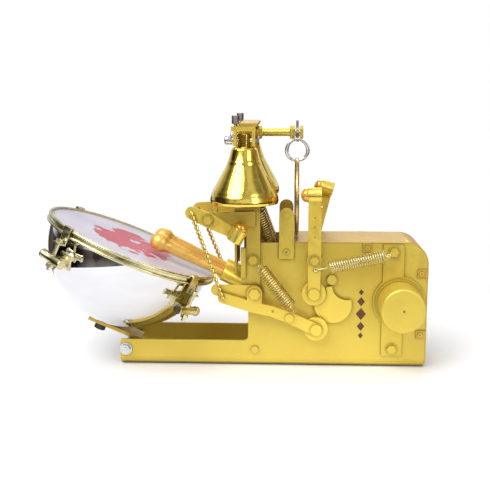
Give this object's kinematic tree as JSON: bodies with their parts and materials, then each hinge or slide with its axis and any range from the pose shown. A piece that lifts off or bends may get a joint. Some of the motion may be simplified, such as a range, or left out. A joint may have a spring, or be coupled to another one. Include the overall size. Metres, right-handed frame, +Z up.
{
  "type": "automatic drum bell and gong ringer",
  "caption": "Motor-driven temple aarti ringer: cams lift levers that beat a chrome kettle drum, ring polished bells and strike a hanging gong, on a gold folded-steel base",
  "frame": {"origin": "on the underside of the folded base, half way between its two side walls, under the left edge of the tall housing less 4 mm", "axes": "+X towards the motor end, +Y towards the rear, +Z up; the front with the motor faces -Y"},
  "size_m": [0.4977, 0.2306, 0.3175],
  "materials": {
    "body_powder": "satin golden powder coat with fine metallic speckle",
    "cover_powder": "satin darker gold powder coat",
    "lever_gold": "gold-coated cast metal",
    "hammer_gold": "brushed gold",
    "bell_brass": "mirror polished brass",
    "gong_brass": "satin brass",
    "bowl_chrome": "mirror chrome",
    "hoop_zinc": "yellow zinc plated steel",
    "head_film": null,
    "mallet_gold": "gold-lacquered turned wood",
    "steel_plated": "bright zinc plated steel",
    "shaft_steel": "ground steel",
    "spring_dark": "dark gold passivated spring wire",
    "spring_zinc": "zinc plated spring wire",
    "chain_gold": "twisted gold plated wire",
    "belt_rubber": "black rubber belt",
    "pulley_alu": "turned aluminium",
    "gland_plastic": "black moulded plastic",
    "bush_bronze": "sintered bronze"
  },
  "bodies": {
    "frame": {"bell_gantry": "cover_powder", "bushes": "bush_bronze", "chassis": "body_powder", "cord_gland": "gland_plastic", "cover_screws": "body_powder", "cradle_bar": "cover_powder", "cradle_bolt": "gland_plastic", "cross_plate": "cover_powder", "cross_tube": "shaft_steel", "drive_belt": "belt_rubber", "drum_claws": "hoop_zinc", "drum_head": "head_film", "drum_hoop": "hoop_zinc", "drum_lugs": "hoop_zinc", "drum_shell": "bowl_chrome", "drum_spring_front": "spring_dark", "drum_spring_rear": "spring_dark", "gong_rod": "hammer_gold", "gong_spring_front": "spring_zinc", "gong_spring_rear": "spring_zinc", "gong_stops": "body_powder", "hammer_arms": "body_powder", "hex_bolts": "body_powder", "mallet_spring_front": "spring_dark", "mallet_spring_rear": "spring_dark", "motor_housing": "body_powder", "motor_strap": "body_powder", "plated_bolts": "steel_plated", "posts": "body_powder", "tension_rods": "hoop_zinc", "top_cover": "cover_powder", "yokes": "lever_gold"},
    "cam_train": {"cam_shaft": "shaft_steel", "cams": "lever_gold", "cam_pulley": "pulley_alu"},
    "motor_rotor": {"motor_pulley": "pulley_alu"},
    "bell_front": {"bell_front": "bell_brass"},
    "bell_rear": {"bell_rear": "bell_brass"},
    "gong": {"gong": "gong_brass", "gong_hanger": "steel_plated"},
    "gong_hammer_front": {"gong_lever_front": "lever_gold", "gong_head_front": "hammer_gold"},
    "gong_roller_front": {"gong_roller_front": "lever_gold"},
    "drum_lever_front": {"drum_lever_front": "lever_gold", "mallet_holder_front": "lever_gold", "mallet_front": "mallet_gold"},
    "drum_roller_front": {"drum_roller_front": "lever_gold"},
    "bell_hammer_front": {"bell_lever_front": "lever_gold", "bell_head_front": "hammer_gold"},
    "chain_front": {"hammer_chain_front": "chain_gold"},
    "gong_hammer_rear": {"gong_lever_rear": "lever_gold", "gong_head_rear": "hammer_gold"},
    "gong_roller_rear": {"gong_roller_rear": "lever_gold"},
    "drum_lever_rear": {"drum_lever_rear": "lever_gold", "mallet_holder_rear": "lever_gold", "mallet_rear": "mallet_gold"},
    "drum_roller_rear": {"drum_roller_rear": "lever_gold"},
    "bell_hammer_rear": {"bell_lever_rear": "lever_gold", "bell_head_rear": "hammer_gold"},
    "chain_rear": {"hammer_chain_rear": "chain_gold"}
  },
  "joints": [
    {"name": "cam_spin", "type": "hinge", "parent": "frame", "child": "cam_train", "pos_m": [0.1105, 0, 0.083], "axis": [0, 1, 0], "continuous": true},
    {"name": "motor_spin", "type": "hinge", "parent": "frame", "child": "motor_rotor", "pos_m": [0.193, 0, 0.086], "axis": [0, 1, 0], "continuous": true},
    {"name": "bell_front_swing", "type": "hinge", "parent": "frame", "child": "bell_front", "pos_m": [0, -0.058, 0.288], "axis": [1, 0, 0], "range_deg": [-4, 4]},
    {"name": "bell_rear_swing", "type": "hinge", "parent": "frame", "child": "bell_rear", "pos_m": [0, 0.058, 0.288], "axis": [1, 0, 0], "range_deg": [-4, 4]},
    {"name": "gong_swing", "type": "hinge", "parent": "frame", "child": "gong", "pos_m": [0.0645, 0, 0.295], "axis": [0, 1, 0], "range_deg": [-0.6, 0.6]},
    {"name": "gong_hammer_front_swing", "type": "hinge", "parent": "frame", "child": "gong_hammer_front", "pos_m": [0.0862, -0.056, 0.1406], "axis": [0, 1, 0], "range_deg": [-0.8, 12], "stiffness_Nm_per_rad": 3},
    {"name": "gong_roller_front_spin", "type": "hinge", "parent": "gong_hammer_front", "child": "gong_roller_front", "pos_m": [0.0862, -0.052, 0.098], "axis": [0, 1, 0], "continuous": true},
    {"name": "drum_lever_front_swing", "type": "hinge", "parent": "frame", "child": "drum_lever_front", "pos_m": [0.0125, -0.05, 0.098], "axis": [0, 1, 0], "range_deg": [-2.2, 9], "stiffness_Nm_per_rad": 5},
    {"name": "drum_roller_front_spin", "type": "hinge", "parent": "drum_lever_front", "child": "drum_roller_front", "pos_m": [0.0894, -0.052, 0.0526], "axis": [0, 1, 0], "continuous": true},
    {"name": "bell_hammer_front_swing", "type": "hinge", "parent": "frame", "child": "bell_hammer_front", "pos_m": [-0.045, -0.056, 0.1903], "axis": [0, 1, 0], "range_deg": [-5.8, 23.1]},
    {"name": "chain_front_turn", "type": "hinge", "parent": "bell_hammer_front", "child": "chain_front", "pos_m": [-0.065, -0.058, 0.199], "axis": [0, 1, 0], "range_deg": [-20.3, 5.1]},
    {"name": "gong_hammer_rear_swing", "type": "hinge", "parent": "frame", "child": "gong_hammer_rear", "pos_m": [0.0862, 0.056, 0.1406], "axis": [0, 1, 0], "range_deg": [-14.8, 1], "stiffness_Nm_per_rad": 3},
    {"name": "gong_roller_rear_spin", "type": "hinge", "parent": "gong_hammer_rear", "child": "gong_roller_rear", "pos_m": [0.07589, 0.052, 0.09927], "axis": [0, 1, 0], "continuous": true},
    {"name": "drum_lever_rear_swing", "type": "hinge", "parent": "frame", "child": "drum_lever_rear", "pos_m": [0.0125, 0.05, 0.098], "axis": [0, 1, 0], "range_deg": [-2.2, 9], "stiffness_Nm_per_rad": 5},
    {"name": "drum_roller_rear_spin", "type": "hinge", "parent": "drum_lever_rear", "child": "drum_roller_rear", "pos_m": [0.0894, 0.052, 0.0526], "axis": [0, 1, 0], "continuous": true},
    {"name": "bell_hammer_rear_swing", "type": "hinge", "parent": "frame", "child": "bell_hammer_rear", "pos_m": [-0.045, 0.056, 0.1903], "axis": [0, 1, 0], "range_deg": [-4.3, 17.3]},
    {"name": "chain_rear_turn", "type": "hinge", "parent": "bell_hammer_rear", "child": "chain_rear", "pos_m": [-0.0668, 0.058, 0.18973], "axis": [0, 1, 0], "range_deg": [-16.5, 4.2]}
  ],
  "couplings": [
    {"joint": "motor_spin", "follows": "cam_spin", "ratio": 2.2727},
    {"joint": "bell_hammer_front_swing", "follows": "drum_lever_front_swing", "ratio": 2.55},
    {"joint": "chain_front_turn", "follows": "drum_lever_front_swing", "ratio": -2.236},
    {"joint": "bell_hammer_rear_swing", "follows": "drum_lever_rear_swing", "ratio": 1.904},
    {"joint": "chain_rear_turn", "follows": "drum_lever_rear_swing", "ratio": -1.82}
  ]
}
